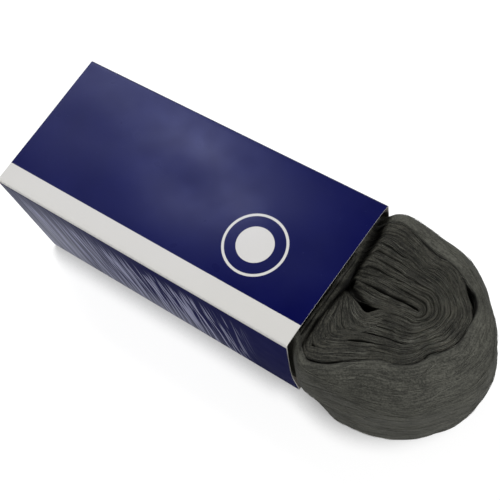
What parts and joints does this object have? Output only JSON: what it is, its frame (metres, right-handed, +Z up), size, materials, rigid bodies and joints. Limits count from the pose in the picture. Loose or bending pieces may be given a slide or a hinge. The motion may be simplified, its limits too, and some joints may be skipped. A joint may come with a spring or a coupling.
{
  "type": "steel wool pad",
  "caption": "Flattened roll of fine steel wool, drawn half out of the open-ended rectangular card sleeve that it comes in.",
  "frame": {"origin": "middle of the sleeve's underside, on the surface that it lies on", "axes": "+Z up, +X along the sleeve towards the mouth that the pad comes out of"},
  "size_m": [0.2178, 0.0807, 0.0723],
  "materials": {
    "printed_card": "glossy printed card",
    "steel_wool": "fine dark fibres"
  },
  "bodies": {
    "root": {"card_sleeve": "printed_card", "steel_wool_pad": "steel_wool"}
  },
  "joints": []
}
